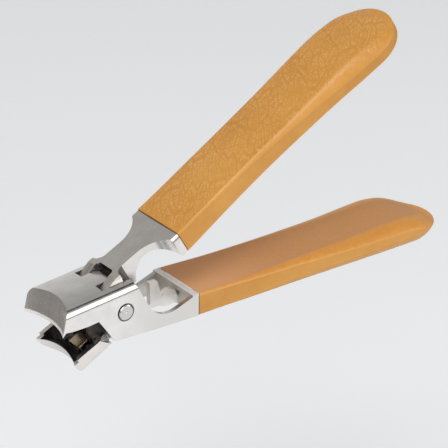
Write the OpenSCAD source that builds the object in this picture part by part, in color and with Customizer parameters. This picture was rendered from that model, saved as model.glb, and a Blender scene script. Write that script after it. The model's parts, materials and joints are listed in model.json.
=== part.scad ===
// Plier-type nail clipper with two long moulded grips, held fully open.
// Frame: origin under the middle of the whole, at the lowest point's height,
// +X towards the grips, +Y along the pivot axis, +Z towards the upper jaw.
// The outer lever carries the upper jaw and the lower grip, the inner lever the
// lower jaw and the upper grip. Shapes are drawn round the pivot axis, and those
// of the inner lever in its closed position; X-Z profiles list [x, z] points.

/* [Levers] */
// Width of both jaws across the pivot axis
jaw_width = 17; // [15:0.5:20]
// Sheet thickness of the stamped levers
sheet = 1.2; // [1:0.1:1.5]
// Angle between the levers' closed and rest positions plus the blade offset
open_angle = 31.1; // [28:0.1:31.1]
// Radius of the rolled long edges of the upper jaw
edge_radius = 2.5; // [1.5:0.1:2.6]
// Slope of the upper jaw's top web
web_slope = 8; // [5:0.5:8]
// Distance from the pivot axis to both cutting edges' ends
tip_x = 17.45; // [17:0.05:17.5]
// Plan depth of the concave cutting edges
edge_hollow = 2.0; // [1:0.1:2.2]
// Width over the outer faces of the inner lever's legs
neck_width = 11.6; // [11:0.1:11.6]
// Width of the slot in the inner lever's web
slot_width = 6.3; // [6:0.1:6.4]

/* [Pivot] */
// Diameter of the pivot pin's shank
pin_d = 3.2; // [2.8:0.1:3.4]
// Diameter of the pivot pin's heads
head_d = 3.9; // [3.7:0.1:4.0]
// Diameter of the recess round each head
recess_d = 4.6; // [4.4:0.1:4.8]
// Radial running clearance on the pin
run_clear = 0.04; // [0.02:0.01:0.08]

/* [Spring] */
// Width of the spring strip
spring_width = 4.5; // [3:0.1:4.8]
// Thickness of the spring strip
spring_thick = 0.45; // [0.3:0.05:0.5]

/* [Grips] */
// Length of each grip
grip_length = 77; // [60:1:85]
// Width of a grip at the metal end
grip_width = 17.2; // [17:0.1:18]
// Width of a grip across its flared tail
tail_width = 21; // [19:0.5:22]
// Thickness of a grip at the metal end
grip_thick = 6.1; // [6:0.1:6.4]
// Thickness of a grip where it is widest
tail_thick = 6.6; // [6:0.1:7.2]
// Height of the upper grip's outer face at its tail, over its mid plane
upper_tail = 2.2; // [1:0.1:3.2]
// Height of the lower grip's inner face at its tail, over its mid plane
lower_tail = 2.0; // [1:0.1:3.2]
// Rise of the lower grip along its length, in degrees
lower_rise = 2.8; // [1:0.1:3]
// Rise of the upper grip along its length, in degrees
upper_rise = 2.35; // [1:0.1:3]

/* [Hidden] */

steel = [0.80, 0.80, 0.79];
ring_steel = [0.70, 0.70, 0.69];
spring_steel = [0.78, 0.70, 0.52];
grip_tan = [0.82, 0.57, 0.26];
pin_white = [0.86, 0.86, 0.84];

pivot_pos = [-40.15, 0, 12.07];
half_jaw = jaw_width / 2;
half_inside = half_jaw - sheet;
half_neck = neck_width / 2;
half_slot = slot_width / 2;
base_x = 20.8;          // where the levers end and the grips start
grip_z = 3.6;           // grips' mid planes at base_x, above and below the pivot

// Blades: the edges are hollowed by leaning cylinders
edge_x = -tip_x + edge_hollow;  // middle of the cutting edges
edge_land = 0.15;
upper_edge_z = -1.9;
lower_edge_z = -1.25;
front_lean = 12.5;
back_lean = 40;
lower_back_lean = 48;
front_radius = arc_radius(half_jaw, edge_hollow * cos(front_lean));
back_radius = arc_radius(half_jaw, edge_hollow * cos(back_lean));

// ------------------------------------------------------------------- helpers
// radius of a circle with a given half chord and sagitta
function arc_radius(half_chord, sagitta) =
    (half_chord * half_chord + sagitta * sagitta) / (2 * sagitta);
// height gained between two x places on a slope
function climb(start, end, slope) = (end - start) * tan(slope);

// profile in X-Z, extruded across Y
module across(width) {
    rotate([90, 0, 0]) linear_extrude(height = width, center = true) children();
}
// section in Y-Z, extruded along X
module along(start, end) {
    translate([start, 0, 0]) rotate([90, 0, 90]) linear_extrude(height = end - start) children();
}
// cylinder along Y, centred
module rod(d, length, facets = 96) {
    rotate([90, 0, 0]) cylinder(d = d, h = length, center = true, $fn = facets);
}
// puts children, drawn round the pivot axis, in the part's frame
module placed() { translate(pivot_pos) children(); }
// turns the inner lever's own frame to rest
module on_inner() { rotate([0, -open_angle, 0]) children(); }
// grip frames: X along the grip, Z towards its outer face
module upper_grip_frame() {
    translate([base_x, 0, grip_z]) rotate([0, -upper_rise, 0]) children();
}
module lower_grip_frame() {
    translate([base_x, 0, -grip_z]) rotate([0, -lower_rise, 0]) mirror([0, 0, 1]) children();
}

// section with rounded upper corners and a slightly crowned top at height 0
module crowned(width, height, corner, crown) {
    intersection() {
        union() {
            translate([-width / 2, -height]) square([width, height - corner]);
            translate([-width / 2 + corner, -height]) square([width - 2 * corner, height]);
            for (side = [-1, 1])
                translate([side * (width / 2 - corner), -corner]) circle(r = corner, $fn = 96);
        }
        translate([0, -crown]) circle(r = crown, $fn = 360);
    }
}

// cylinder whose +X flank passes through [x, 0, z], its top leaning towards +X
module blade_cutter(radius, x, z, lean) {
    translate([x, 0, z]) rotate([0, lean, 0])
        translate([-radius, 0, -30]) cylinder(r = radius, h = 60, $fn = 360);
}

// --------------------------------------------------------------------- tangs
tang_width = 11;
tang_end = 74;
flange_end = 40;
tang_pin_places = [12, 44];     // along a grip

// web and two side flanges of a lever's tang, from their X-Z profiles
module tang(web, flange) {
    across(tang_width) polygon(web);
    for (side = [-1, 1])
        translate([0, side * (tang_width - sheet) / 2, 0]) across(sheet) polygon(flange);
}
// upright cylinders at the tang pins' places, in a grip frame
module pin_row(d, height, z = 0) {
    for (place = tang_pin_places)
        translate([place, 0, z]) cylinder(d = d, h = height, center = true, $fn = 64);
}
module tang_holes() { pin_row(d = 2.5, height = 8); }

// --------------------------------------------------------------- outer lever
web_top = 6.75;         // height of the top web over the pivot axis
web_crown = 62;
recess_depth = 0.55;
anchor_pin_x = 27;
anchor_pin_z = -4.95;

outer_side = [[-19, 7], [-19, upper_edge_z], [-13, upper_edge_z],
    [-8.2, -0.6], [-7.5, -0.47], [-2.9, -6.8], [8.5, -6.75],
    [base_x, -6.45], [base_x, 9], [-19, 9]];
// material under the side walls behind the blade
wall_trim = [[-19, -3], [-19, -0.85], [-14.4, -1.1], [-10.3, -0.9], [-7.5, -0.47], [-7.5, -3]];
closing_web = [[19.06, -1.8], [19.06, -0.75], [base_x, -0.62], [base_x, -1.8]];
end_wall = [[20.1, -1.5], [20.1, -6.2], [base_x - 0.02, -6.2], [base_x - 0.02, -1.5]];
anchor_slot = [[19, -3.8], [22, -3.8], [22, -6.0], [19, -6.0]];
outer_tang_web = [[20, -1.8], [20, -0.62], [20.9, -0.62], [23, -2.85],
    [tang_end, -2.85 + climb(23, tang_end, lower_rise)],
    [tang_end, -4.05 + climb(23, tang_end, lower_rise)], [22.4, -4.05]];
outer_tang_flange = [[20, -6.0], [20, -1.2], [23, -3],
    [flange_end, -3 + climb(23, flange_end, lower_rise)],
    [flange_end, -5.2 + climb(23, flange_end, lower_rise)], [30, -6.0]];

// scoop: two straight flanks, tangent to a round bottom
scoop_radius = 6.4;
scoop_centre = [12.1, 2.95];
scoop_front_slope = 61;
scoop_rear_slope = 21.5;
scoop_flank = 14;       // length of the front flank
scoop_top = 14;
scoop_end = 30;
scoop_front = scoop_centre - scoop_radius * [sin(scoop_front_slope), cos(scoop_front_slope)];
scoop_rear = scoop_centre + scoop_radius * [sin(scoop_rear_slope), -cos(scoop_rear_slope)];

// opening in the web and the tongue left standing in it
opening_clear = 0.12;
tongue_half = half_slot - 0.15;
tongue_start = -7;
tongue_end = -0.6;
tongue_corner = 1.2;

module scoop_profile() {
    translate(scoop_centre) circle(r = scoop_radius, $fn = 180);
    polygon([scoop_front,
        scoop_front + scoop_flank * [-cos(scoop_front_slope), sin(scoop_front_slope)],
        [scoop_end, scoop_top],
        [scoop_end, scoop_rear[1] + (scoop_end - scoop_rear[0]) * tan(scoop_rear_slope)],
        scoop_rear, scoop_centre]);
}

// crowned, sloping block of the upper jaw, inset from its top and sides
module outer_block(inset) {
    translate([0, 0, web_top]) rotate([0, -web_slope, 0]) translate([0, 0, -inset])
        along(-24, 24)
            crowned(2 * (half_jaw - inset), 30, edge_radius - inset * 0.75, web_crown);
}

// keeps the blade's metal when the hollow is cut
module upper_blade_back() {
    blade_cutter(back_radius, edge_x + edge_land, upper_edge_z, back_lean);
}

module outer_hollow() {
    difference() {
        intersection() {
            outer_block(sheet);
            translate([-24, -half_inside, -20]) cube([60, 2 * half_inside, 40]);
        }
        upper_blade_back();
    }
}

module tongue() {
    difference() {
        translate([tongue_start, -tongue_half, 0])
            cube([tongue_end - tongue_start, 2 * tongue_half, 9]);
        // rounds the two free corners
        for (side = [-1, 1])
            translate([tongue_end - tongue_corner, side * (tongue_half - tongue_corner), 0])
                difference() {
                    translate([0, side > 0 ? 0 : -2, 0]) cube([2, 2, 9]);
                    cylinder(r = tongue_corner, h = 9, $fn = 64);
                }
    }
}

module outer_shell() {
    difference() {
        intersection() {
            outer_block(0);
            across(jaw_width + 1) polygon(outer_side);
        }
        blade_cutter(front_radius, edge_x, upper_edge_z, front_lean);
        outer_hollow();
        difference() {
            across(jaw_width + 2) polygon(wall_trim);
            upper_blade_back();
        }
        across(jaw_width + 2) scoop_profile();
        // opening in the web for the inner lever's legs, round the tongue
        difference() {
            translate([-5, -half_neck - opening_clear, 3.5])
                cube([12, neck_width + 2 * opening_clear, 8]);
            tongue();
        }
    }
}

module anchor_bore() {
    translate([anchor_pin_x, 0, anchor_pin_z]) rod(1.62, 16, 64);
}

module outer_lever() {
    color(steel) placed() difference() {
        union() {
            outer_shell();
            across(jaw_width) polygon(closing_web);
            // end wall of the channel, slotted for the spring's anchor
            difference() {
                across(2 * half_inside + 0.6) polygon(end_wall);
                across(1.6) polygon(anchor_slot);
            }
            tang(outer_tang_web, outer_tang_flange);
        }
        rod(pin_d + 0.02, 40);
        for (side = [-1, 1]) translate([0, side * half_jaw, 0]) rod(recess_d, 2 * recess_depth);
        lower_grip_frame() tang_holes();
        anchor_bore();
    }
}

// --------------------------------------------------------------- inner lever
collar_x = 9;           // start of the full-width collar in front of the grip
web_under = 5.2;        // underside of the web
slot_end = 3.5;         // where the slot's end corners start
slot_corner = 1;
cup_bottom = -4.95;
cup_floor = -3.8;
pocket_z = -4.55;

// neck, legs, waist and collar
inner_side = [[-9.6, -4.9], [-9.6, 0.9], [-8.5, 2.4], [-4.4, 4.5], [-2.68, 5.81],
    [3.12, 7.355], [4.5, 7.25], [base_x, 6.45], [base_x, 0.6],
    [6.5, 0.6], [3.2, -0.8], [2.2, -3.1], [-1.5, -3.8], [-5.5, -4.9]];
web_strip = [[-2.3, 4.65], [-2.6, 5.83], [3.12, 7.355], [4.5, 7.25], [4.5, 5.9], [3.2, 6.05]];
inner_tang_web = [[20, web_under], [20, 6.4], [20.9, 6.4], [23.4, 4.35],
    [tang_end, 4.35 + climb(23.4, tang_end, upper_rise)],
    [tang_end, 3.15 + climb(23.4, tang_end, upper_rise)], [22.8, 3.15]];
inner_tang_flange = [[20, 2.0], [20, 5.6], [23, 4.2],
    [flange_end, 4.2 + climb(23, flange_end, upper_rise)],
    [flange_end, 2.0 + climb(23, flange_end, upper_rise)]];
cup_side = [[-19, -2.2], [-19, -0.62], [-16.4, -0.62], [-14.2, -0.7],
    [-9.0, -1.1], [-6.5, -4.95], [-14.9, -4.95], [-16.4, -4.2], [-17.1, -3.3], [-17.3, -2.2]];
shoulder_side = [[-9.6, -4.95], [-6.5, -4.95], [-6.3, -2.4], [-8.2, -0.95], [-9.6, -1.0]];
// plan, [x, y]
shoulder_plan = [[-9.6, -half_jaw], [-8.9, -half_jaw], [-6.2, -half_neck],
    [-6.2, -half_neck + sheet], [-9.6, -half_neck + sheet]];

// waist cut in plan on the +Y side, grown all round
module waist_cut(grow) {
    translate([7.0, 6.2]) circle(r = 2.7 + grow, $fn = 96);
    translate([11.5, 11.5]) circle(r = 8 + grow, $fn = 180);
    translate([7.0, 3.5 - grow]) square([4.5, 8]);
}
// plan outline of neck, waist and collar, inset from the sides
module lever_plan(inset) {
    difference() {
        union() {
            translate([-12, -(half_neck - inset)]) square([22, neck_width - 2 * inset]);
            translate([collar_x, -(half_jaw - inset)])
                square([base_x - collar_x, jaw_width - 2 * inset]);
        }
        waist_cut(inset);
        mirror([0, 1]) waist_cut(inset);
    }
}
module lever_side() {
    difference() {
        union() {
            polygon(inner_side);
            circle(r = 3.7, $fn = 96);
        }
        // arched lower edge of the flanges at the waist
        translate([13.4, -1.15]) circle(r = 6, $fn = 180);
    }
}

// slot through the web, with a round-cornered +X end
module web_slot() {
    translate([-14, -half_slot, -2]) cube([17.6, slot_width, 12]);
    translate([slot_end, -half_slot + slot_corner, -2])
        cube([slot_corner, slot_width - 2 * slot_corner, 12]);
    for (side = [-1, 1])
        translate([slot_end, side * (half_slot - slot_corner), -2])
            cylinder(r = slot_corner, h = 12, $fn = 48);
}

module inner_shell() {
    difference() {
        intersection() {
            across(jaw_width + 1) lever_side();
            translate([0, 0, -6]) linear_extrude(height = 16) lever_plan(0);
            translate([0, 0, 7.75]) along(-14, 22) crowned(jaw_width + 0.01, 16, 2.6, 70);
        }
        // channel between the flanges, under the web
        translate([0, 0, -20]) linear_extrude(height = 20 + web_under) lever_plan(sheet);
        // gap between the legs
        translate([-20, -half_neck + sheet, -20]) cube([20, neck_width - 2 * sheet, 29]);
        web_slot();
    }
}

// outside of the lower jaw's cup, crowned downwards
module cup_block() {
    translate([0, 0, cup_bottom]) mirror([0, 0, 1]) along(-20, 0) crowned(jaw_width, 12, 2.0, 90);
}

// cross-shaped pocket in the cup's floor with four round lobes, under the spring's arm
module floor_pocket() {
    translate([-12.25, -3, pocket_z]) cube([2.7, 6, 3]);
    translate([-13.25, -2, pocket_z]) cube([4.7, 4, 3]);
    for (x = [-12.25, -9.55], y = [-3, 3])
        translate([x, y, pocket_z]) cylinder(r = 1, h = 3, $fn = 48);
}

module inner_jaw() {
    difference() {
        intersection() {
            cup_block();
            across(jaw_width + 1) polygon(cup_side);
        }
        blade_cutter(front_radius, edge_x, lower_edge_z, 0);
        // inside of the cup, behind the blade's inner face
        difference() {
            translate([-20, -half_inside, cup_floor]) cube([20, 2 * half_inside, 10]);
            mirror([0, 0, 1])
                blade_cutter(back_radius, edge_x + edge_land, -lower_edge_z, lower_back_lean);
        }
        // blade end lower than the side walls
        intersection() {
            translate([-22, -half_jaw - 1, lower_edge_z]) cube([8, jaw_width + 2, 5]);
            blade_cutter(front_radius, edge_x + 1.3, lower_edge_z, 0);
        }
        floor_pocket();
    }
}

// flared shoulder from the cup's -Y wall to the leg
module shoulder() {
    intersection() {
        translate([0, 0, cup_bottom]) linear_extrude(height = 4) polygon(shoulder_plan);
        across(jaw_width + 1) polygon(shoulder_side);
        cup_block();
    }
}

module inner_lever() {
    color(steel) placed() on_inner() difference() {
        union() {
            inner_jaw();
            inner_shell();
            // web strips beside the slot, dipping towards the outer lever's opening
            for (side = [-1, 1])
                translate([0, side * (half_slot + half_neck) / 2, 0])
                    across(half_neck - half_slot) polygon(web_strip);
            // floor behind the cup, joining the legs
            translate([-9.4, -half_neck, -4.9]) cube([3.4, neck_width, 1.1]);
            shoulder();
            mirror([0, 1, 0]) shoulder();
            tang(inner_tang_web, inner_tang_flange);
        }
        rod(pin_d + 2 * run_clear, 40);
        upper_grip_frame() tang_holes();
    }
}

// --------------------------------------------------------------------- pivot
shank_d = pin_d - 0.02;
head_height = 0.69;
head_proud = 0.15;      // from the jaw's side to the head's chamfer
chamfer_height = 0.2;

// chamfered head in the recess on the +Y side
module pivot_head() {
    translate([0, half_jaw + head_proud, 0]) rotate([90, 0, 0])
        cylinder(d = head_d, h = head_height, $fn = 96);
    translate([0, half_jaw + head_proud + chamfer_height, 0]) rotate([90, 0, 0])
        cylinder(d1 = head_d - 0.5, d2 = head_d, h = chamfer_height, $fn = 96);
}
module pivot_pin() {
    color(steel) placed() difference() {
        union() {
            rod(shank_d, 2 * (half_jaw - 0.57));
            mirror([0, 1, 0]) pivot_head();
            // joins the shank to the head
            translate([0, -half_jaw + 1.5, 0]) rotate([90, 0, 0])
                cylinder(d = shank_d, h = 1.5, $fn = 96);
        }
        // dimple in the head
        translate([0, -half_jaw - 0.36, 0]) rotate([90, 0, 0]) sphere(d = 0.7, $fn = 32);
        // blind bore for the cap's spigot
        translate([0, half_jaw + 1, 0]) rotate([90, 0, 0]) cylinder(d = 1.8, h = 6, $fn = 64);
    }
}
module pivot_cap() {
    color(steel) placed() union() {
        pivot_head();
        // spigot
        translate([0, half_jaw - 0.5, 0]) rotate([90, 0, 0]) cylinder(d = 1.76, h = 4, $fn = 64);
    }
}

// ring on the pivot pin
module pivot_ring(d, width) {
    difference() {
        rod(d, width);
        rod(pin_d + 0.04, 20);
    }
}
module spacer_washers() {
    color(ring_steel) placed() for (side = [-1, 1])
        translate([0, side * (half_neck + half_inside) / 2, 0])
            pivot_ring(6.2, half_inside - half_neck - 0.06);
}
module pivot_sleeve() {
    color(ring_steel) placed() pivot_ring(4.4, neck_width - 2 * sheet - 0.1);
}

// -------------------------------------------------------------------- spring
loop_inside = 2.45;                         // inner radius of the loop
loop_mid = loop_inside + spring_thick / 2;
loop_outside = loop_inside + spring_thick;
loop_gap = 8;                               // angle left open in the loop
front_angle = open_angle + 228;             // the front arm leaves the loop here
// ends of the arms' straight strips; the first two move with the inner lever
front_bend = at_rest([-7.8, -3.55]);
front_end = at_rest([-12.6, -3.55]);
rear_end = [9.2, -4.05];

// a [x, z] point of the inner lever's frame, turned to rest
function at_rest(point) = [
    point[0] * cos(open_angle) - point[1] * sin(open_angle),
    point[0] * sin(open_angle) + point[1] * cos(open_angle)];
function polar(radius, angle) = [radius * cos(angle), radius * sin(angle)];

// straight strip between two X-Z points
module strip(start, end) {
    reach = end - start;
    translate(start) rotate(atan2(reach[1], reach[0]))
        translate([0, -spring_thick / 2]) square([norm(reach), spring_thick]);
}
module return_spring() {
    color(spring_steel) placed() across(spring_width) union() {
        difference() {
            circle(r = loop_outside, $fn = 96);
            circle(r = loop_inside, $fn = 96);
            polygon([[0, 0], polar(12, front_angle), polar(12, front_angle + loop_gap)]);
        }
        strip(polar(loop_mid, front_angle), front_bend);
        strip(front_bend, front_end);
        strip([0, -loop_mid], rear_end);
    }
}

anchor_disc_x = 17.6;
anchor_disc_z = -3.95;
anchor_side = [[11.9, 1.2], [14.1, 1.2], [15.6, -3.4], [17.6, -3.9], [28.6, -3.95],
    [28.6, -5.9], [16.0, -5.9], [14.2, -5.4], [8.2, -5.4], [8.2, -4.45], [12.1, -4.45]];
// room for the tang web above the anchor
anchor_relief = [[19, -1.9], [20.3, -1.9], [22.3, -4.12],
    [40, -4.12 + climb(22.3, 40, lower_rise)], [40, 2], [19, 2]];

module spring_anchor() {
    color(steel) placed() difference() {
        union() {
            across(1.64) translate([anchor_disc_x, anchor_disc_z]) circle(r = 2.1, $fn = 64);
            across(1.5) polygon(anchor_side);
        }
        // small blind hole in the disc's -Y face
        translate([anchor_disc_x, -0.5, anchor_disc_z]) rotate([90, 0, 0])
            cylinder(d = 0.6, h = 0.5, $fn = 32);
        anchor_bore();
        across(4) polygon(anchor_relief);
    }
}
module anchor_pin() {
    color(steel) placed() translate([anchor_pin_x, 0, anchor_pin_z]) rod(1.58, 10.9, 64);
}

// --------------------------------------------------------------------- grips
front_corner = 1;       // corner radius at the metal end
tail_rim = 2.2;         // rim radius of the tail
split = -1.5;           // height of the joint between cover and base
split_gap = 0.02;
tang_pin_z = -0.2;
pocket_width = 11.3;
pocket_end = 74.4;
flange_room_end = 40.4;

// room round the tangs, in each lever's frame
upper_web_room = [[19, 4.9], [19, 6.62], [21.1, 6.62], [23.6, 4.5],
    [pocket_end, 4.5 + climb(23.6, pocket_end, upper_rise)],
    [pocket_end, 3.0 + climb(23.6, pocket_end, upper_rise)], [19, 3.0]];
upper_flange_room = [[19, 1.85], [19, 4.5],
    [flange_room_end, 4.5 + climb(23.2, flange_room_end, upper_rise)],
    [flange_room_end, 1.85 + climb(23.2, flange_room_end, upper_rise)]];
lower_web_room = [[19, -4.2], [19, -0.5], [21.1, -0.5], [23.2, -2.7],
    [pocket_end, -2.7 + climb(23.2, pocket_end, lower_rise)],
    [pocket_end, -4.2 + climb(23.2, pocket_end, lower_rise)], [22, -4.2]];
lower_flange_room = [[19, -6.15], [19, -3],
    [flange_room_end, -3 + climb(23.2, flange_room_end, lower_rise)],
    [flange_room_end, -5.4 + climb(23.2, flange_room_end, lower_rise)], [30.2, -6.15]];

// round plate with softened rims, reaching above and below its mid plane
module grip_disc(radius, above, below) {
    flat = radius - tail_rim;
    rotate_extrude($fn = 72) union() {
        translate([0, -below]) square([flat, above + below]);
        for (z = [tail_rim - below, above - tail_rim])
            translate([flat, z]) circle(r = tail_rim, $fn = 32);
        translate([0, tail_rim - below]) square([radius, above + below - 2 * tail_rim]);
    }
}
// grip body in its grip frame; the tail's end reaches above and below the mid plane
module grip_form(length, above, below) {
    tail_x = length - tail_width / 2;
    hull() {
        for (side = [-1, 1], face = [-1, 1])
            translate([0, side * (grip_width / 2 - front_corner),
                    face * (grip_thick / 2 - front_corner)])
                rotate([0, 90, 0]) cylinder(r = front_corner, h = 2, $fn = 32);
        translate([tail_x - 8, 0, 0])
            grip_disc(tail_width / 2 - 0.15, tail_thick / 2, tail_thick / 2);
        translate([tail_x, 0, 0]) grip_disc(tail_width / 2, above, below);
    }
}
module upper_form() { grip_form(grip_length, upper_tail, tail_thick / 2); }
module lower_form() { grip_form(grip_length - 0.8, tail_thick / 2 - 0.4, lower_tail); }

// blocks on the outer and inner side of the joint
module cover_half() { translate([-2, -20, split]) cube([grip_length + 10, 40, 12]); }
module base_half() {
    translate([-2, -20, -12 + split - split_gap]) cube([grip_length + 10, 40, 12]);
}

// squares off the front end and clears the tang
module tang_pocket(web_room, flange_room) {
    translate([base_x - 5, -20, -20]) cube([5.02, 40, 40]);
    across(pocket_width) polygon(web_room);
    across(pocket_width) polygon(flange_room);
}

// first child is the grip's body, second the half to keep
module bored_half() {
    difference() {
        intersection() {
            children(0);
            children(1);
        }
        pin_row(d = 2.44, height = 4.0, z = tang_pin_z);
    }
}
// the half of each grip inside the child block
module upper_shell() {
    on_inner() difference() {
        upper_grip_frame() bored_half() {
            upper_form();
            children();
        }
        tang_pocket(upper_web_room, upper_flange_room);
    }
}
module lower_shell() {
    difference() {
        lower_grip_frame() bored_half() {
            lower_form();
            children();
        }
        tang_pocket(lower_web_room, lower_flange_room);
    }
}

module upper_grip_cover() { color(grip_tan) placed() upper_shell() cover_half(); }
module upper_grip_base() { color(grip_tan) placed() upper_shell() base_half(); }
module lower_grip_cover() { color(grip_tan) placed() lower_shell() cover_half(); }
module lower_grip_base() { color(grip_tan) placed() lower_shell() base_half(); }

// locating pins that hold the shells together through the tangs
module tang_pins() { pin_row(d = 2.4, height = 3.9, z = tang_pin_z); }
module upper_tang_pins() {
    color(pin_white) placed() on_inner() upper_grip_frame() tang_pins();
}
module lower_tang_pins() { color(pin_white) placed() lower_grip_frame() tang_pins(); }

outer_lever();
inner_lever();
pivot_pin();
pivot_cap();
spacer_washers();
pivot_sleeve();
return_spring();
spring_anchor();
anchor_pin();
upper_grip_cover();
upper_grip_base();
lower_grip_cover();
lower_grip_base();
upper_tang_pins();
lower_tang_pins();
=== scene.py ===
"""A spring-opened hand cutter: two crossed sheet-steel levers on a pivot pin, with tan plastic grips.

The pivot axis runs along Y, the jaws point to -X and the handles to +X. The outer lever carries the
upper jaw and the lower handle. The inner lever is turned by OPEN, and carries the lower jaw and the
upper handle. Each lever's own frame is in mm from the pivot axis, and the scene is in metres.
"""
import json
import math
import bpy
import bmesh
import numpy as np
from mathutils import Matrix, Vector


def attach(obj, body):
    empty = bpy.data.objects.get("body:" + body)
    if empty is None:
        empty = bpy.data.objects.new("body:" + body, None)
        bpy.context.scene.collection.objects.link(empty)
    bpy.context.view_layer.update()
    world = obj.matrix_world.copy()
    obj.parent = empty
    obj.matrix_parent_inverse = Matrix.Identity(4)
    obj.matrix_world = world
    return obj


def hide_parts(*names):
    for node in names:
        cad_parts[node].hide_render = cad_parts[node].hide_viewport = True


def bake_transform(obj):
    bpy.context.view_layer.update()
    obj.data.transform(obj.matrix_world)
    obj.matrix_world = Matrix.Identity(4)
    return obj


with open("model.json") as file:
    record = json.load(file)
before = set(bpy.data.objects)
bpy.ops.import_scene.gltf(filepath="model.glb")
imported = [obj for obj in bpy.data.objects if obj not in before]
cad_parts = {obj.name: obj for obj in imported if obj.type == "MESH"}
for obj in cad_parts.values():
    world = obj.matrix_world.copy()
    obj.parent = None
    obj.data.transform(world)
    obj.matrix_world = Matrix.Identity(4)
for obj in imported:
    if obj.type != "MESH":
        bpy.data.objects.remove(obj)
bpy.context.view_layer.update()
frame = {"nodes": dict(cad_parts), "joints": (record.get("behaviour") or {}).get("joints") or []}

MM = 0.001
SCENE = bpy.context.scene
PIVOT = Vector(frame["joints"][0]["pos_m"])
OPEN = math.radians(31.1)                 # rest angle between the two levers' own frames

# Grips, in mm. Tables are keyed by whether the grip is the upper one.
BASE_X, GRIP_Z = 20.8, 3.6                # where a grip starts, from the pivot axis
END_GAP = 0.03                            # between the lever and the grip's front end
RISE = {True: math.radians(2.35), False: math.radians(2.8)}
LENGTH = {True: 76.9, False: 75.7}
TAIL = 10.45                              # radius of the tail's rounding
END_ROUND = 0.27                          # rounding of the front end's rim
GRAIN_DEPTH = 0.065

# Spring strip, in mm
LOOP_R = 2.68
SPRING_WIDTH, SPRING_THICK = 4.5, 0.45


# ------------------------------------------------------------------ helpers
def interp(x, knots, values):
    """Monotone cubic through (knots, values), flat outside."""
    knots, values = np.asarray(knots, float), np.asarray(values, float)
    gap = np.diff(knots)
    slope = np.diff(values) / gap
    tangent = np.zeros(len(knots))
    for i in range(1, len(knots) - 1):
        if slope[i - 1] * slope[i] > 0:
            w1 = 2 * gap[i] + gap[i - 1]
            w2 = gap[i] + 2 * gap[i - 1]
            tangent[i] = (w1 + w2) / (w1 / slope[i - 1] + w2 / slope[i])
    x = np.clip(np.asarray(x, float), knots[0], knots[-1])
    k = np.clip(np.searchsorted(knots, x) - 1, 0, len(gap) - 1)
    t = (x - knots[k]) / gap[k]
    return ((2 * t ** 3 - 3 * t ** 2 + 1) * values[k]
            + (t ** 3 - 2 * t ** 2 + t) * gap[k] * tangent[k]
            + (3 * t ** 2 - 2 * t ** 3) * values[k + 1]
            + (t ** 3 - t ** 2) * gap[k] * tangent[k + 1])


def step(x, low=0.0, high=1.0):
    """Smooth step from 0 at low to 1 at high."""
    x = np.clip((np.asarray(x, float) - low) / (high - low), 0, 1)
    return x * x * (3 - 2 * x)


def bell(x, width, centre=0.0):
    return np.exp(-((x - centre) / width) ** 2)


def bezier(q, *points):
    """Both coordinates of a quadratic curve through three control points."""
    return [(1 - q) ** 2 * a + 2 * q * (1 - q) * b + q * q * c for a, b, c in zip(*points)]


def hash2(i, j, seed):
    """Two repeatable random numbers in 0..1 for each lattice cell."""
    bits = (i.astype(np.int64) * 374761393 + j.astype(np.int64) * 668265263
            + seed * 974634777) & 0x7FFFFFFF
    bits = ((bits ^ (bits >> 13)) * 1274126177) & 0x7FFFFFFF
    bits = bits ^ (bits >> 16)
    more = (bits * 1103515245 + 12345) & 0x7FFFFFFF
    return (bits & 0xFFFF) / 65535.0, ((more >> 7) & 0xFFFF) / 65535.0


def value_noise(x, y, seed):
    i, j = np.floor(x), np.floor(y)
    fx, fy = step(x - i), step(y - j)
    corner = [hash2(i + a, j + b, seed)[0] for a in (0, 1) for b in (0, 1)]
    return ((corner[0] * (1 - fx) + corner[2] * fx) * (1 - fy)
            + (corner[1] * (1 - fx) + corner[3] * fx) * fy - 0.5)


def cell_edge(x, y, seed, jitter=0.92):
    """Distance to the nearest border between jittered cells, in cell units, and a random number
    per cell."""
    i0, j0 = np.floor(x), np.floor(y)
    nearest = np.full(x.shape, 9.0)
    own_x, own_y, own_id = np.zeros_like(x), np.zeros_like(x), np.zeros_like(x)
    points = []
    for i in range(-2, 3):
        for j in range(-2, 3):
            rand_x, rand_y = hash2(i0 + i, j0 + j, seed)
            px = i0 + i + 0.5 + (rand_x - 0.5) * jitter - x
            py = j0 + j + 0.5 + (rand_y - 0.5) * jitter - y
            dist = px * px + py * py
            near = dist < nearest
            nearest = np.where(near, dist, nearest)
            own_x, own_y = np.where(near, px, own_x), np.where(near, py, own_y)
            own_id = np.where(near, rand_x, own_id)
            points.append((px, py))
    edge = np.full(x.shape, 9.0)
    for px, py in points:
        dx, dy = px - own_x, py - own_y
        gap = np.sqrt(dx * dx + dy * dy)
        dist = ((px + own_x) * dx + (py + own_y) * dy) / (2 * np.maximum(gap, 1e-9))
        edge = np.where(gap > 1e-6, np.minimum(edge, dist), edge)
    return edge, own_id


def link_object(name, data):
    ob = bpy.data.objects.new(name, data)
    SCENE.collection.objects.link(ob)
    return ob


def smooth_mesh(name, verts, faces, weld, material, attributes=()):
    """A smooth, welded mesh object; attributes are (name, value per vertex) pairs."""
    mesh = bpy.data.meshes.new(name)
    mesh.from_pydata(verts, [], faces)
    for key, values in attributes:
        layer = mesh.attributes.new(key, "FLOAT", "POINT")
        layer.data.foreach_set("value", values.astype(np.float32))
    ob = link_object(name, mesh)
    bm = bmesh.new()
    bm.from_mesh(mesh)
    bmesh.ops.remove_doubles(bm, verts=bm.verts, dist=weld)
    bmesh.ops.recalc_face_normals(bm, faces=bm.faces)
    bm.to_mesh(mesh)
    bm.free()
    mesh.validate()
    mesh.update()
    mesh.shade_smooth()
    mesh.materials.append(material)
    return ob


# ---------------------------------------------------------------- materials
DOWN = (1.0, 0.0)                         # output of a mapping that falls from 1 to 0


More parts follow.
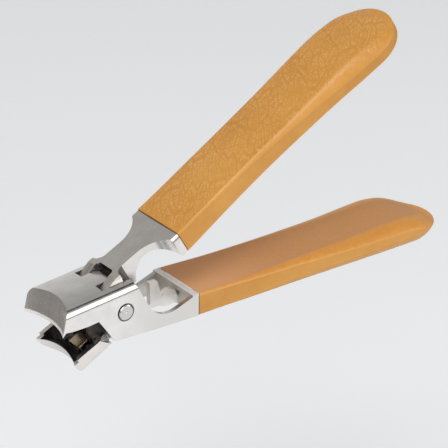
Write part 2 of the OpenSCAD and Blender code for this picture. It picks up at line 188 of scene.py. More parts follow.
class Nodes:
    """A node tree with one shader linked to its output, and short ways to add nodes."""

    def __init__(self, owner, output, shader):
        owner.use_nodes = True
        self.tree = owner.node_tree
        self.tree.nodes.clear()
        self.output = self.new(output)
        self.shader = self.new(shader)
        self.link(self.shader.outputs[0], self.output.inputs[0])

    def new(self, kind, **props):
        node = self.tree.nodes.new(kind)
        for key, value in props.items():
            setattr(node, key, value)
        return node

    def link(self, source, target):
        self.tree.links.new(source, target)

    def put(self, socket, value):
        if isinstance(value, bpy.types.NodeSocket):
            self.link(value, socket)
        elif isinstance(value, tuple) and len(value) == 3 and socket.type == "RGBA":
            socket.default_value = (*value, 1)
        else:
            socket.default_value = value

    def coord(self, scale=(1, 1, 1), turn=(0, 0, 0)):
        """Object coordinates, turned and then scaled."""
        source = self.new("ShaderNodeTexCoord")
        scaled = self.new("ShaderNodeMapping")
        turned = self.new("ShaderNodeMapping")
        turned.inputs["Rotation"].default_value = turn
        scaled.inputs["Scale"].default_value = scale
        self.link(source.outputs["Object"], turned.inputs[0])
        self.link(turned.outputs[0], scaled.inputs[0])
        return scaled.outputs[0]

    def xyz(self, vector=None):
        node = self.new("ShaderNodeSeparateXYZ")
        self.link(vector or self.coord(), node.inputs[0])
        return node.outputs

    def noise(self, vector, scale=1.0, detail=3, rough=0.5, distort=0.0):
        node = self.new("ShaderNodeTexNoise")
        self.link(vector, node.inputs["Vector"])
        for key, value in (("Scale", scale), ("Detail", detail), ("Roughness", rough),
                           ("Distortion", distort)):
            node.inputs[key].default_value = value
        return node.outputs["Fac"]

    def ramp(self, fac, stops):
        node = self.new("ShaderNodeValToRGB")
        elements = node.color_ramp.elements
        while len(elements) < len(stops):
            elements.new(0.5)
        for element, (position, colour) in zip(elements, stops):
            element.position = position
            element.color = (*colour, 1)
        self.link(fac, node.inputs[0])
        return node.outputs[0]

    def math(self, operation, a, b=0.0):
        node = self.new("ShaderNodeMath", operation=operation)
        self.put(node.inputs[0], a)
        self.put(node.inputs[1], b)
        return node.outputs[0]

    def add(self, a, b):
        return self.math("ADD", a, b)

    def mul(self, a, b):
        return self.math("MULTIPLY", a, b)

    def mix(self, fac, a, b, blend="MIX"):
        node = self.new("ShaderNodeMix", data_type="RGBA", blend_type=blend)
        for index, value in ((0, fac), (6, a), (7, b)):
            self.put(node.inputs[index], value)
        return node.outputs[2]

    def bump(self, height, strength, distance):
        node = self.new("ShaderNodeBump")
        node.inputs["Strength"].default_value = strength
        node.inputs["Distance"].default_value = distance
        self.link(height, node.inputs["Height"])
        return node.outputs[0]

    def map(self, value, span, to=(0.0, 1.0), smooth=False):
        """The value's span mapped to another, clamped."""
        node = self.new("ShaderNodeMapRange")
        node.clamp = True
        if smooth:
            node.interpolation_type = "SMOOTHSTEP"
        self.put(node.inputs[0], value)
        for i, number in enumerate((*span, *to)):
            node.inputs[i + 1].default_value = number
        return node.outputs[0]

    def fade(self, value, span, to=(0.0, 1.0)):
        return self.map(value, span, to, smooth=True)

    def set(self, **values):
        for key, value in values.items():
            self.put(self.shader.inputs[key.replace("_", " ")], value)


def new_material(name):
    return Nodes(bpy.data.materials.new(name), "ShaderNodeOutputMaterial",
                 "ShaderNodeBsdfPrincipled")


def finished(net):
    return net.tree.id_data


def between_plates_shade_mask(net):
    """1 on the legs between the plates, which are unpolished; the colour there is painted shade, near
    black.
    """
    x, y, z = net.xyz()
    mask = net.fade(net.math("ABSOLUTE", y), (0.0069, 0.0072), DOWN)
    for axis, origin, start, end, to in ((z, PIVOT.z, 0.0046, 0.0078, DOWN),
                                         (x, PIVOT.x, 0.004, 0.007, DOWN),
                                         (x, PIVOT.x, -0.0112, -0.0098, (0.0, 1.0)),
                                         (z, PIVOT.z, -0.0076, -0.0066, (0.0, 1.0))):
        mask = net.mul(mask, net.fade(axis, (origin + start, origin + end), to))
    return mask


def steel(name, tint, rough, brush=0.10, tilt=0.0, metal=1.0, shaded=False, streak=0.0,
          edge=None, shade_between_plates=False):
    """Stainless sheet: fine brushing along the part, faint waviness and small scuffs.

    brush is the spread of roughness, tilt the brushing's angle about Y, streak the strength of the
    grinding marks and edge the height of the cutting edge.
    """
    def shade(factor):
        return tuple(channel * factor for channel in tint)

    mat = bpy.data.materials.new(name)
    net = Nodes(mat, "ShaderNodeOutputMaterial", "ShaderNodeBsdfPrincipled")
    fine = net.noise(net.coord((160, 4200, 4200), (0, tilt, 0)), rough=0.6)
    wide = net.noise(net.coord((40, 900, 900), (0, tilt, 0)), detail=2)
    cloud = net.noise(net.coord(), scale=160)
    scuff = net.noise(net.coord(), scale=900, detail=6, rough=0.7, distort=0.6)
    gloss = net.add(net.map(fine, (0.3, 0.7), to=(rough - brush * 0.5, rough + brush * 0.5)),
                    net.map(cloud, (0.35, 0.7), to=(-0.02, 0.05)))
    gloss = net.add(gloss, net.map(scuff, (0.62, 0.8), to=(0.0, 0.10)))
    col = net.mix(net.map(cloud, (0.3, 0.7)), tint, shade(0.94))
    col = net.mix(net.map(wide, (0.35, 0.65), to=(0.0, 0.35)), col, shade(0.86))
    patch = net.noise(net.coord(), scale=210, detail=2)
    col = net.mix(net.map(patch, (0.42, 0.68), to=(0.0, 0.45)), col, shade(0.80))
    if shaded:                            # the reflections fall off along the plate
        span = (PIVOT.x - 0.004, PIVOT.x + 0.012)
        col = net.mix(net.fade(net.xyz()[0], span), col, shade(0.82))
    if streak:                            # marks of the last grinding pass, up and down the face
        bars = net.noise(net.coord((30, 620, 30)), detail=4, rough=0.6)
        marks = tuple(c * factor for c, factor in zip(tint, (0.42, 0.37, 0.33)))
        col = net.mix(net.map(bars, (0.36, 0.66), to=(0.0, streak)), col, marks)
        gloss = net.add(gloss, net.map(bars, (0.4, 0.6), to=(0.0, 0.10)))
    # painted shade: the legs between the plates are darkened near black
    if shade_between_plates:
        plate_gap_shade = between_plates_shade_mask(net)
        cover = net.mul(plate_gap_shade, net.map(scuff, (0.3, 0.7), to=(0.98, 0.90)))
        col = net.mix(cover, col, (0.060, 0.055, 0.052))
        gloss = net.add(gloss, net.mul(plate_gap_shade, 0.15))
    if edge is not None:                  # the ground land along the cutting edge, painted as a bright highlight line
        height = net.xyz()[2]
        wave = net.map(net.noise(net.coord((1, 1, 0)), scale=900, detail=2), (0.3, 0.7),
                       to=(-0.00006, 0.00006))
        line = net.fade(net.add(height, wave), (edge + 0.00068, edge + 0.00082), DOWN)
        col = net.mix(line, col, (0.97, 0.94, 0.90))
        metal = net.map(line, (0, 1), to=(metal, 0.35))
    relief = net.add(net.mul(fine, 0.35), net.mul(wide, 0.65))
    net.set(Base_Color=col, Metallic=metal, Roughness=gloss, Anisotropic=0.35,
            Normal=net.bump(relief, strength=0.10, distance=0.00002))
    return mat


def grip_material():
    """Tan moulded plastic: a leather-grained face with a dry sheen, and smooth satin sides."""
    mat = bpy.data.materials.new("tan_grip")
    net = Nodes(mat, "ShaderNodeOutputMaterial", "ShaderNodeBsdfPrincipled")
    vec = net.coord()
    # grain: below 0 seam, 0 furrow, 1 plateau and smooth skin, above 1 lips
    grain = net.new("ShaderNodeAttribute", attribute_name="grain").outputs["Fac"]
    big = net.noise(vec, scale=55)
    small = net.noise(vec, scale=700, detail=4, rough=0.6)
    # face: 0.5 on the inner face's rounding, 1 on the inner face
    face = net.new("ShaderNodeAttribute", attribute_name="inner").outputs["Fac"]
    base = net.ramp(big, [(0.30, (0.540, 0.236, 0.034)), (0.52, (0.600, 0.275, 0.044)),
                          (0.75, (0.660, 0.325, 0.064))])
    # painted shade: the furrows are darkened
    furrow = net.mix(0.30, base, (0.36, 0.125, 0.012))
    col = net.mix(net.map(grain, (0.0, 0.95)), furrow, base)
    # lit lips beside the furrows
    col = net.mix(net.map(grain, (1.08, 1.42), to=(0.0, 0.42)), col, (0.790, 0.450, 0.150))
    col = net.mix(net.map(small, (0.4, 0.7), to=(0.0, 0.10)), col, (0.74, 0.42, 0.13))
    col = net.mix(net.fade(face, (0.0, 0.5), to=(0.0, 0.85)), col,
                  net.mix(net.map(small, (0.3, 0.7)), (0.580, 0.245, 0.040),
                          (0.650, 0.290, 0.060)))
    # the duller inner face, darker and greyer, partly painted shade and sheen; painted light makes it
    # paler towards the pivot, where the upper grip shades it
    dust = net.noise(vec, scale=1800, detail=5, rough=0.7)
    dull = net.mix(net.map(dust, (0.35, 0.65)), (0.455, 0.218, 0.078), (0.530, 0.265, 0.100))
    dull = net.mix(net.map(big, (0.3, 0.7), to=(0.0, 0.5)), dull, (0.500, 0.230, 0.070))
    # painted light, paler towards the pivot
    front = net.fade(net.xyz(vec)[0], (PIVOT.x + 0.020, PIVOT.x + 0.050), to=(0.60, 0.0))
    dull = net.mix(front, dull, (0.68, 0.36, 0.165))
    col = net.mix(net.fade(face, (0.52, 1.0)), col, dull)
    # the lit line along the parting crease
    line = net.mul(net.fade(face, (0.10, 0.24)), net.fade(face, (0.26, 0.44), DOWN))
    col = net.mix(net.mul(line, 0.6), col, (0.80, 0.48, 0.19))
    # painted shade in the seam by the steel
    col = net.mix(net.map(grain, (-1.0, -0.1), to=(0.92, 0.0)), col, (0.10, 0.045, 0.015))
    micro = net.noise(vec, scale=2600, rough=0.65)
    gloss = net.add(net.map(small, (0.3, 0.7), to=(0.40, 0.50)),
                    net.map(grain, (0.0, 1.0), to=(0.12, 0.0)))
    gloss = net.add(gloss, net.map(face, (0.6, 1.0), to=(0.0, 0.25)))
    net.set(Base_Color=col, Roughness=gloss, Specular_IOR_Level=0.45, Subsurface_Weight=0.05,
            Normal=net.bump(micro, strength=0.14, distance=0.00004),
            Subsurface_Scale=0.002, Coat_Weight=0.16, Coat_Roughness=0.30)
    net.shader.inputs["Subsurface Radius"].default_value = (1.0, 0.4, 0.15)
    return mat


JAW_END_X = -12.5                         # the upper jaw's ground end lies beyond this, in mm
EDGE_Z = min(v.co.z for v in frame["nodes"]["outer_lever"].data.vertices
             if v.co.x < PIVOT.x + JAW_END_X * MM)

M_OUTER = steel("outer_steel", tint=(0.85, 0.83, 0.805), rough=0.17, shaded=True)
M_INNER = steel("inner_steel", tint=(0.83, 0.79, 0.755), rough=0.20, tilt=-OPEN, shade_between_plates=True)
M_LIP = steel("lip_steel", tint=(0.92, 0.88, 0.84), rough=0.20, streak=0.50, edge=EDGE_Z)
M_ARM = steel("arm_steel", tint=(0.62, 0.59, 0.56), rough=0.26, tilt=-OPEN, streak=0.75)
M_PIN = steel("pin_steel", tint=(0.66, 0.65, 0.63), rough=0.24, brush=0.08)
M_SPRING = steel("straw_spring", tint=(0.62, 0.50, 0.33), rough=0.26)
M_GRIP = grip_material()
M_DULL = steel("dull_steel", tint=(0.56, 0.53, 0.49), rough=0.36, metal=0.9)
M_DARK = steel("painted_shade_steel", tint=(0.21, 0.20, 0.205), rough=0.34, brush=0.08, shade_between_plates=True)
M_PLATE = steel("anchor_steel", tint=(0.90, 0.875, 0.85), rough=0.42, brush=0.05, metal=0.6)

# --------------------------------------------------------------- CAD pieces
CAD = {                                   # material, bevel width in mm
    "outer_lever": (M_OUTER, 0.20), "inner_lever": (M_INNER, 0.20),
    "pivot_pin": (M_PIN, 0.05), "pivot_cap": (M_PIN, 0.05), "spacer_washers": (M_PIN, 0.08),
    "pivot_sleeve": (M_PIN, 0.08), "spring_anchor": (M_PLATE, 0.15), "anchor_pin": (M_PIN, 0.08),
    "upper_tang_pins": (M_PIN, 0.08), "lower_tang_pins": (M_PIN, 0.08),
}
for name, (material, width) in CAD.items():
    ob = frame["nodes"][name]
    ob.data.materials.clear()
    ob.data.materials.append(material)
    bevel = ob.modifiers.new("bevel", "BEVEL")
    bevel.width = width * MM
    bevel.segments = 2
    bevel.limit_method = "ANGLE"
    bevel.angle_limit = math.radians(40)
    bevel.harden_normals = False
    bevel.use_clamp_overlap = True

# Material slots of the two levers
POLISHED, DULL, DARK, LIP, ARM, PLATE = range(6)


def outer_skin(c, n):
    """Slot of an outer lever's face, from its centre in mm and its normal in the lever's frame."""
    if math.hypot(c.x, c.z) < 2.45 and abs(c.y) < 8.48:
        return DARK                       # the recesses round the pin's heads, near black as painted shade
    if n.x < -0.4 and c.x < JAW_END_X and n.z > -0.3 and abs(n.y) < 0.8:
        return LIP                        # the ground end of the jaw
    if c.x > 19.0 and c.z > -1.3 and n.z > 0.45:
        return PLATE                      # the flange in front of the grip, painted light: the paler anchor steel keeps it bright
    if abs(c.y) > 7.35 or (n.z > 0.3 and c.z > 4.5):
        return POLISHED
    return DULL if c.x > 4 else DARK


def inner_skin(c, n):
    """The same for the inner lever."""
    if c.x < -6.2:                        # the lower jaw
        if c.x > -9.7 and 4.9 < abs(c.y) < 7.35 and -4.6 < c.z < -0.9 and n.z > -0.3:
            return ARM
        # the jaw's inside is near black, painted shade
        outside = (abs(c.y) > 7.35 or n.z < -0.3 or (n.x < -0.4 and c.x < -14.5)
                   or (c.z > -0.9 and n.z > 0.5))
        return POLISHED if outside else DARK
    # painted shade between the plates, near black
    if c.x < 6.5 and abs(c.y) < 4.7 and n.z < 0.4:
        return DARK
    if c.x < 3.4 and c.z > 4.4 and n.z > 0.4:
        return ARM                        # the arms, in darker, streaked steel
    return POLISHED if n.z > 0.3 or n.y * c.y > 0.2 or c.x > 20.7 else DULL


# The sheet's inner faces are unpolished and darker, and the jaws' insides and the recesses are near
# black, painted shade
for name, turn, pick in (("outer_lever", 0, outer_skin), ("inner_lever", -OPEN, inner_skin)):
    mesh = frame["nodes"][name].data
    for material in (M_DULL, M_DARK, M_LIP, M_ARM, M_PLATE):
        mesh.materials.append(material)
    to_lever = (Matrix.Translation(PIVOT) @ Matrix.Rotation(turn, 4, "Y")).inverted()
    for face in mesh.polygons:
        face.material_index = pick((to_lever @ face.center) / MM,
                                   to_lever.to_3x3() @ face.normal)


# -------------------------------------------------------------------- grips
def lever_matrix(upper):
    """The frame of the lever with this handle, in mm from the pivot axis, to the scene."""
    matrix = Matrix.Translation(PIVOT) @ Matrix.Scale(MM, 4)
    return matrix @ Matrix.Rotation(-OPEN, 4, "Y") if upper else matrix


def face_heights(x, upper):
    """Heights of the outer and the inner face along the grip, in mm from its mid plane."""
    if upper:
        top = interp(x, [0, 12, 20, 32, 45, 57, 62, 66, 70, 74, 77],
                     [3.25, 3.32, 3.3, 3.34, 3.55, 3.8, 3.6, 3.0, 2.1, 0.9, 0.3])
        low = interp(x, [0, 20, 45, 60, 70, 77], [3.02, 3.0, 3.05, 3.2, 3.3, 3.3])
    else:
        top = interp(x, [0, 20, 45, 57, 66, 72, 76], [3.05, 3.2, 3.3, 3.25, 3.15, 2.8, 2.4])
        low = interp(x, [0, 20, 45, 58, 62, 66, 70, 76],
                     [3.02, 3.0, 3.15, 3.65, 3.75, 3.3, 2.1, -0.3])
    return top, low


def section_sizes(u, lead, upper):
    """Sizes of the half section at stations u, in mm, each as a column: half width, outer face,
    side's top crease, inner face, the inner rounding's height and width, lift of the whole
    section, width of the outer corner and fall of the crown."""
    def along(stations, values):          # the last value is where the tail's rounding starts
        return interp(u, stations + [LENGTH[upper] - TAIL], values)

    even, sparse = [0, 12, 24, 36, 48, 60], [0, 8, 30, 50, 60]
    half = along([0, 12, 26, 40, 52, 61], [8.6, 8.55, 8.72, 9.25, 9.95, 10.4, TAIL])
    top, low = face_heights(u, upper)
    if upper:
        crease = along(even, [2.35, 2.3, 2.0, 1.6, 0.95, 0.1, -0.2])
        round_z = along(sparse, [0.25, 0.32, 0.75, 1.0, 0.8, 0.55])
        round_y = along(sparse, [0.25, 0.5, 1.9, 2.6, 2.0, 1.3])
        lift = along([0, 8, 18, 30, 44], [0.05, 0.14, 0.24, 0.2, 0.05, 0])
    else:
        crease = along(even, [2.35, 2.1, 1.6, 1.1, 0.7, 0.2, 0.0])
        round_z = along(sparse, [0.25, 0.38, 0.85, 1.5, 1.75, 1.8])
        round_y = along(sparse, [0.25, 0.55, 2.0, 3.7, 4.4, 4.5]) + 0.6 * lead
        lift = along([0, 4, 15, 44, 52, 60], [0, 0.12, 0.40, 0.5, 0.52, 0.52, 0.6])
    corner = along(even, [0.45, 0.7, 1.05, 1.6, 2.3, 3.0, 3.2]) + 0.6 * lead
    drop = 0.22 + 0.3 * along([0, 3, 10], [0, 0.3, 1, 1.1])
    sizes = (half, top, crease, -low, round_z, round_y, lift, corner, drop)
    return [size[:, None] for size in sizes]


def half_profile(u, lead, upper):
    """Half sections (s out from the spine, z up to the outer face) at stations u. lead is 0 on the
    body, and up to 1 at the tail's tip. Returns s, z, their normals, arc length from the spine,
    1 on the grained crown, the half width and the "inner" attribute."""
    half, top, crease, inner_z, round_z, round_y, lift, corner, drop = section_sizes(
        u, lead, upper)
    n_crown, n_corner, n_crease, n_side, n_part, n_round, n_inner = (
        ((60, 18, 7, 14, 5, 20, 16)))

    def between(count):                   # parameters of the points strictly inside a curve
        return np.linspace(0, 1, count + 2)[None, 1:-1]

    # crowned outer face, then a soft corner that ends at a crease
    q = np.linspace(0, 1, n_crown)[None, :]
    flat = half - corner
    s_crown = flat * q
    z_crown = top - drop * (s_crown / half) ** 2
    sweep = 1.10
    q = np.linspace(0, 1, n_corner + 1)[None, 1:] * sweep
    shoulder = top - drop * (flat / half) ** 2
    s_corner = flat + corner * np.sin(q) / np.sin(sweep)
    z_corner = shoulder - (shoulder - crease) * (1 - np.cos(q)) / (1 - np.cos(sweep))
    # small rounding at the crease
    s_crease, z_crease = bezier(between(n_crease), (half, crease), (half + 0.05, crease - 0.16),
                                (half - 0.02, crease - 0.34))
    # side band, with a trace of belly
    part_z = inner_z + round_z
    q = np.linspace(0, 1, n_side)[None, :]
    z_side = (crease - 0.34) * (1 - q) + (part_z + 0.14) * q
    s_side = half - 0.02 + 0.04 * np.sin(np.pi * q) - 0.04 * q
    # parting crease and the inner face's rounding
    start = 0.42
    cut = 1 - np.cos(start)

    def arc(angle):
        inward = (1 - np.cos(angle) - cut) / (1 - cut)
        down = (np.sin(angle) - np.sin(start)) / (1 - np.sin(start))
        return half - 0.06 - (round_y - 0.06) * inward, inner_z + round_z - round_z * down

    s_part, z_part = bezier(between(n_part), (half - 0.06, part_z + 0.14),
                            (half - 0.055, part_z), arc(start + 0.06))
    s_round, z_round = arc(np.linspace(start + 0.06, np.pi / 2, n_round)[None, :])
    # inner face, very slightly hollow
    q = np.linspace(0, 1, n_inner + 1)[None, 1:]
    s_inner = (half - round_y) * (1 - q)
    z_inner = inner_z + 0.08 * step(q, 0, 0.5)
    s = np.concatenate([s_crown, s_corner, s_crease, s_side, s_part, s_round, s_inner], 1)
    z = np.concatenate([z_crown, z_corner, z_crease, z_side, z_part, z_round, z_inner], 1)
    # round the tail the faces go on along the grip
    tail_top, tail_low = face_heights(u[:, None] + np.sqrt(lead)[:, None] * s, upper)
    z = np.where(z > 0, z * (tail_top / top), z * (tail_low / -inner_z)) + lift

    ds, dz = np.gradient(s, axis=1), np.gradient(z, axis=1)
    size = np.maximum(np.hypot(ds, dz), 1e-9)
    normal_s, normal_z = -dz / size, ds / size
    normal_s[:, 0], normal_z[:, 0] = 0, 1
    normal_s[:, -1], normal_z[:, -1] = 0, -1
    arc_length = np.concatenate([np.zeros((len(u), 1)),
                                 np.cumsum(np.hypot(np.diff(s), np.diff(z)), 1)], 1)
    crown = np.zeros(s.shape)
    crown[:, :n_crown + n_corner] = 1
    inner = np.zeros(s.shape)
    part = n_crown + n_corner + n_crease + n_side
    inner[:, part - 2] = 0.12             # the lit line along the parting crease
    inner[:, part - 1] = 0.25
    inner[:, part:] = 0.5
    below = part + n_part
    inner[:, below:] = 0.5 + 0.5 * step((half - s)[:, below:] / round_y, 0.55, 1.25)
    return s, z, normal_s, normal_z, arc_length, crown, half, inner


def leather(x, y, seed):
    """Grain height, about 0 on the plateaus down to about -1 in the furrows, for points in mm."""
    def noise(px, py, layer):
        return value_noise(px, py, seed + layer)

    warp_x = x + 0.55 * noise(x / 2.6, y / 2.6, 0) + 0.22 * noise(x / 0.9, y / 0.9, 1)
    warp_y = y + 0.55 * noise(x / 2.6 + 40, y / 2.6, 2) + 0.22 * noise(x / 0.9, y / 0.9 + 9, 3)
    # pebbles in two sizes, and two crossing sets of long furrows
    big, big_id = cell_edge(warp_x / 1.8, warp_y / 1.3, seed + 4)
    small, small_id = cell_edge(warp_x / 0.85 + 7, warp_y / 0.65, seed + 5)
    c, s = math.cos(0.75), math.sin(0.75)
    rising, _ = cell_edge((c * warp_x + s * warp_y) / 8.5, (-s * warp_x + c * warp_y) / 2.4,
                          seed + 6)
    falling, _ = cell_edge((c * warp_x - s * warp_y) / 7.5 + 3, (s * warp_x + c * warp_y) / 2.8,
                           seed + 8)
    strength = 0.55 + 0.9 * (noise(x / 4.5, y / 4.5, 7) + 0.5)
    fine = 0.15 + 0.85 * step(noise(x / 3.2, y / 3.2, 9), -0.2, 0.25)
    furrow = np.maximum(np.maximum(bell(big * 1.55, 0.14) * 0.75,
                                   bell(small * 0.75, 0.10) * 0.4 * fine),
                        np.maximum(bell(rising * 2.4, 0.18) * 0.8,
                                   bell(falling * 2.8, 0.17) * 0.7))
    # low lips beside the furrows
    lip = bell(big * 1.55, 0.13, 0.27) * 0.45 + bell(rising * 2.4, 0.15, 0.34) * 0.4
    lip = lip + bell(small * 0.75, 0.09, 0.20) * 0.16 * fine
    pebble = 0.16 * noise(x / 0.55, y / 0.5, 12)
    dome = (0.10 * (1 - np.clip(small * 2.6, 0, 1)) ** 2 + 0.10 * (big_id - 0.5)
            + 0.08 * (small_id - 0.5))
    return lip * strength - (furrow * strength + dome * 0.6 + pebble)


def grip(side, seed):
    upper = side == "upper"
    spacing = 0.15
    end = LENGTH[upper] - TAIL
    body = np.concatenate([[0.0, 0.03, 0.08, 0.16, 0.27, 0.40],
                           np.arange(0.55, end - spacing * 0.4, spacing)])
    turn = np.linspace(-np.pi / 2, np.pi / 2, int(np.pi * TAIL / spacing) + 1)
    # stations along the outline: the -Y side, round the tail, the +Y side
    u = np.concatenate([body, np.full(len(turn), end), body[::-1]])
    out_x = np.concatenate([0 * body, np.cos(turn), 0 * body])
    out_y = np.concatenate([0 * body - 1, np.sin(turn), 0 * body + 1])
    s, z, normal_s, normal_z, arc_length, crown, half, inner = half_profile(
        u, out_x ** 2, upper)
    u, out_x, out_y = u[:, None], out_x[:, None], out_y[:, None]
    inset = np.where(u < END_ROUND, END_ROUND - np.sqrt(
        np.maximum(END_ROUND ** 2 - (END_ROUND - u) ** 2, 0)), 0)
    s = np.where(s > 0, np.maximum(s - inset * normal_s, 0), s)
    z = z - inset * normal_z
    x = u + out_x * s
    y = out_y * s
    # the grain is laid out along the skin, and fades at the crown's rim and the front end
    skin_x, skin_y = u + out_x * arc_length, out_y * arc_length
    rim = 0.25 * step(half - s, 0.0, 0.25) + 0.75 * step(half - s, 0.1, 1.6)
    mask = crown * rim * step(x, 0.25, 1.0)
    height = leather(skin_x, skin_y, seed) * mask
    x = x + height * GRAIN_DEPTH * normal_s * out_x
    y = y + height * GRAIN_DEPTH * normal_s * out_y
    z = z + height * GRAIN_DEPTH * normal_z
    # unevenness of a moulded face
    z = z + mask * 0.03 * (value_noise(skin_x / 9, skin_y / 9, seed + 20) - 0.5)
    grain = ((1 + np.clip(height, -1, 0.5)) * step(x, 0.06, 0.24)
             - 1.3 * (1 - step(x, 0.02, 0.40)))         # below 0 at the seam
    # into the lever's frame: the grip is tilted outwards, and its front end square to the lever
    tilt, sign = RISE[upper], 1 if upper else -1
    z = sign * z
    front = BASE_X + END_GAP
    lever_x = front + x * math.cos(tilt) - z * math.sin(tilt) * step(x, 0, 4)
    lever_z = sign * GRIP_Z + x * math.sin(tilt) + z * math.cos(tilt)
    rows, cols = x.shape
    centre = rows * cols                  # index of the vertex in the middle of the front end
    points = np.vstack([np.stack([lever_x, y, lever_z], -1).reshape(-1, 3),
                        [[front, 0, sign * GRIP_Z]]])
    index = np.arange(centre).reshape(rows, cols)
    faces = np.stack([index[:-1, :-1], index[1:, :-1], index[1:, 1:], index[:-1, 1:]],
                     -1).reshape(-1, 4).tolist()
    for j in range(cols - 1):             # the front end's face
        faces.append([index[0, j], index[0, j + 1], centre])
        faces.append([index[-1, j + 1], index[-1, j], centre])
    matrix = np.array(lever_matrix(upper))
    verts = points @ matrix[:3, :3].T + matrix[:3, 3]
    inner = inner * (0.5 if upper else 1.0)
    ob = smooth_mesh(f"{side}_grip", verts.tolist(), faces, weld=2e-7, material=M_GRIP,
                     attributes=(("grain", np.append(grain.ravel(), 0.0)),
                                 ("inner", np.append(inner.ravel(), 0.0))))
    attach(ob, f"{side}_handle")
    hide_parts(f"{side}_grip_cover", f"{side}_grip_base")


grip("upper", seed=11)
grip("lower", seed=47)


# ------------------------------------------------------------------- spring
def strip(name, path, width, thick, material):
    """A flat strip with rounded edges, swept along a path in the X-Z plane, in mm from the pivot
    axis."""
    path = np.array(path, float)
    for _ in range(3):                    # round the corners
        a, b = path[:-1], path[1:]
        cut = np.empty((2 * len(a), 2))
        cut[0::2], cut[1::2] = a * 0.75 + b * 0.25, a * 0.25 + b * 0.75
        path = np.vstack([path[:1], cut, path[-1:]])
    tangent = np.gradient(path, axis=0)
    tangent /= np.maximum(np.linalg.norm(tangent, axis=1), 1e-9)[:, None]
    normals = np.stack([-tangent[:, 1], tangent[:, 0]], 1)
    section = []
    radius = thick * 0.30
    for sign_y, sign_z, start in ((1, 1, 0), (-1, 1, 90), (-1, -1, 180), (1, -1, 270)):
        for k in range(5):
            angle = math.radians(start + 22.5 * k)
            section.append((sign_y * (width / 2 - radius) + radius * math.cos(angle),
                            sign_z * (thick / 2 - radius) + radius * math.sin(angle)))
    verts, faces, count = [], [], len(section)
    for point, normal in zip(path, normals):
        for y, height in section:
            x, z = point + normal * height
            verts.append(PIVOT + Vector((x, y, z)) * MM)
    for k in range(len(path) - 1):
        for j in range(count):
            a, b = k * count + j, k * count + (j + 1) % count
            faces.append((a, b, b + count, a + count))
    faces.append(tuple(range(count))[::-1])
    faces.append(tuple(range((len(path) - 1) * count, len(path) * count)))
    return smooth_mesh(name, verts, faces, weld=1e-7, material=material)


def on_rest(x, z):
    """A point of the inner lever's frame in the outer lever's."""
    c, s = math.cos(OPEN), math.sin(OPEN)
    return x * c - z * s, x * s + z * c


# (x, z): the leg on the lower handle, the loop round the pivot, the leg on the lower jaw
spring_path = [(9.2, -4.05), (5.0, -3.62), (1.1, -3.22), (0.55, -3.22), (0.32, -2.95),
               (0.55, -2.66)]
spring_path += [(LOOP_R * math.cos(math.radians(a)), LOOP_R * math.sin(math.radians(a)))
                for a in range(292, 605, 8)]
spring_path += [(-1.02, -2.52), (-0.78, -2.80), (-0.95, -3.12), (-1.5, -3.30)]
spring_path += [on_rest(x, z) for x, z in ((-4.3, -2.75), (-7.4, -3.52), (-8.4, -3.56),
                                          (-10.5, -3.56), (-12.6, -3.56))]
spring = strip("spring_strip", spring_path, SPRING_WIDTH, SPRING_THICK, M_SPRING)
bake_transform(spring)
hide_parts("return_spring")


# -------------------------------------------------------------------- stage
def floor_material():
    mat = bpy.data.materials.new("floor_paint")
    net = Nodes(mat, "ShaderNodeOutputMaterial", "ShaderNodeBsdfPrincipled")
    cloud = net.noise(net.coord(), scale=6)
    paint = net.mix(cloud, (0.84, 0.86, 0.885), (0.88, 0.895, 0.92))
    x, y, _ = net.xyz()
    # painted reflection: what the steel sees of the floor falls off behind the part, as round a
    # studio sweep
    fall = net.mix(net.fade(y, (0.02, 0.32)), (1.0, 1.0, 1.0), (0.34, 0.33, 0.32))

    def near(axis, middle, half, soft=0.005):
        offset = net.math("ABSOLUTE", net.math("SUBTRACT", axis, middle))
        return net.fade(offset, (half - soft, half + soft), DOWN)

    # a painted dark patch, seen only in reflections, in front of the jaws, which the insides of the
    # scallops pick up as bars
    reflected_dark_patch = net.mul(near(x, middle=-0.078, half=0.016),
                   net.math("MAXIMUM", near(y, middle=-0.060, half=0.018),
                            near(y, middle=-0.016, half=0.016)))
    mirrored = net.mix(net.mul(reflected_dark_patch, 0.85), fall, (0.10, 0.10, 0.12))
    seen = net.mix(net.new("ShaderNodeLightPath").outputs["Is Glossy Ray"], paint, mirrored,
                   blend="MULTIPLY")
    net.set(Base_Color=seen, Roughness=0.85, Specular_IOR_Level=0.15, Emission_Color=seen,
            Emission_Strength=0.16)
    # clear from below, so that the underside can be looked at
    both = net.new("ShaderNodeMixShader")
    for index, source in enumerate((net.new("ShaderNodeNewGeometry").outputs["Backfacing"],
                                    net.shader.outputs[0],
                                    net.new("ShaderNodeBsdfTransparent").outputs[0])):
        net.link(source, both.inputs[index])
    net.link(both.outputs[0], net.output.inputs[0])
    return mat


floor_paint = floor_material()
bm = bmesh.new()
bmesh.ops.create_circle(bm, cap_ends=True, segments=128, radius=0.68)
floor_mesh = bpy.data.meshes.new("floor")
bm.to_mesh(floor_mesh)
bm.free()
floor = link_object("floor", floor_mesh)
floor.location = (0, 0, -0.12)
floor_mesh.materials.append(floor_paint)


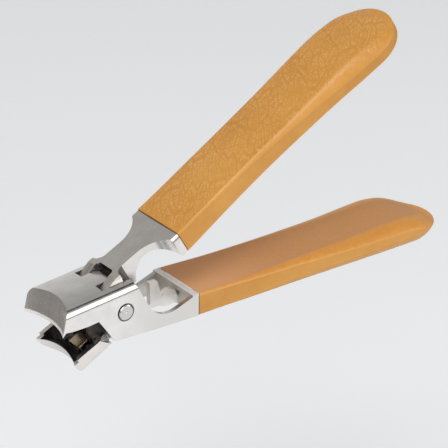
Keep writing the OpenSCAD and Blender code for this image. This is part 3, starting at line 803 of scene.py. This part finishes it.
def studio_world():
    world = bpy.data.worlds.new("studio")
    SCENE.world = world
    net = Nodes(world, "ShaderNodeOutputWorld", "ShaderNodeBackground")
    ray = net.new("ShaderNodeTexCoord").outputs["Generated"]
    height = net.xyz(ray)[2]

    def dot(vector):
        node = net.new("ShaderNodeVectorMath", operation="DOT_PRODUCT")
        net.link(ray, node.inputs[0])
        node.inputs[1].default_value = vector
        return node.outputs["Value"]

    def box(direction, half_w, half_h, soft, up=(0, 0, 1)):
        """1 inside a soft rectangle seen in a direction, half sizes as tangents."""
        forward = Vector(direction).normalized()
        right = forward.cross(Vector(up)).normalized()
        ahead = dot(forward)
        safe = net.math("MAXIMUM", ahead, 0.001)
        across, upward = (net.math("ABSOLUTE", net.math("DIVIDE", dot(axis), safe))
                          for axis in (right, right.cross(forward)))
        inside = net.mul(net.fade(across, (half_w - soft, half_w + soft), DOWN),
                         net.fade(upward, (half_h - soft, half_h + soft), DOWN))
        return net.mul(inside, net.map(ahead, (0.0, 0.05)))

    # brightness from straight down (0) to straight up (1)
    levels = ((0.0, 0.30), (0.38, 0.20), (0.47, 0.27), (0.54, 0.36), (0.62, 0.50),
              (0.76, 0.60), (0.81, 0.42), (0.86, 0.34), (1.0, 0.42))
    grey = net.ramp(net.map(height, (-1, 1)), [(place, (level,) * 3) for place, level in levels])
    split = net.new("ShaderNodeSeparateColor")
    net.link(grey, split.inputs[0])
    value = split.outputs[0]
    glossy = net.new("ShaderNodeLightPath").outputs["Is Glossy Ray"]
    # a dark flag overhead
    flag = net.mul(box((0.36, -0.15, 0.92), half_w=0.42, half_h=0.40, soft=0.08, up=(0, 1, 0)),
                   net.map(glossy, (0, 1), to=(0.2, 0.93)))
    value = net.mul(value, net.math("SUBTRACT", 1.0, flag))
    # soft boxes: direction, half width, half height, softness, strength (diffuse, glossy)
    for direction, half_w, half_h, soft, strength in (
            ((0.42, -0.835, 0.33), 0.60, 0.32, 0.06, (0.15, 1.6)),
            ((-0.62, -0.60, 0.52), 0.50, 0.40, 0.15, (0.5, 1.3)),
            ((0.05, 0.98, 0.10), 0.90, 0.26, 0.14, (0.0, 0.5))):
        value = net.add(value, net.mul(box(direction, half_w, half_h, soft),
                                       net.map(glossy, (0, 1), to=strength)))
    # the room itself looks pale and plain
    seen = net.new("ShaderNodeMix", data_type="FLOAT")
    net.link(net.new("ShaderNodeLightPath").outputs["Is Camera Ray"], seen.inputs[0])
    net.link(value, seen.inputs[2])
    seen.inputs[3].default_value = 0.80
    net.set(Strength=seen.outputs[0], Color=(1.0, 0.99, 0.975))


studio_world()


def area(name, place, size, power, colour=(1, 1, 1)):
    """A rectangular light aimed at the origin."""
    light = bpy.data.lights.new(name, "AREA")
    light.shape = "RECTANGLE"
    light.size, light.size_y = size
    light.energy = power
    light.color = colour
    ob = link_object(name, light)
    ob.location = place
    ob.rotation_mode = "QUATERNION"
    ob.rotation_quaternion = Vector(place).to_track_quat("Z", "Y")


area("key", place=(-0.33, -0.42, 0.77), size=(0.45, 0.45), power=4.8, colour=(1.0, 0.985, 0.96))
area("fill", place=(0.75, -0.60, 0.35), size=(0.45, 0.35), power=1.4)

# ------------------------------------------------------------------- camera
CAMERA_AXES = Matrix(((0.8157193381, -0.5782073284, 0.01668073447),      # right
                      (0.2270471786, 0.3465684902, 0.9101317818),        # up
                      (-0.5320258830, -0.7386247809, 0.4139829620)))     # back
CAMERA_PLACE = Vector((-334.65481877, -511.63298250, 297.73853471))      # mm from the pivot

cam_data = bpy.data.cameras.new("camera")
cam = link_object("camera", cam_data)
cam_data.sensor_width = 36
cam_data.lens = 231.55082246
cam_data.clip_start, cam_data.clip_end = 0.01, 20
cam.matrix_world = (Matrix.Translation(CAMERA_PLACE * MM + PIVOT)
                    @ CAMERA_AXES.transposed().to_4x4())
SCENE.camera = cam
SCENE.view_settings.view_transform = "Standard"
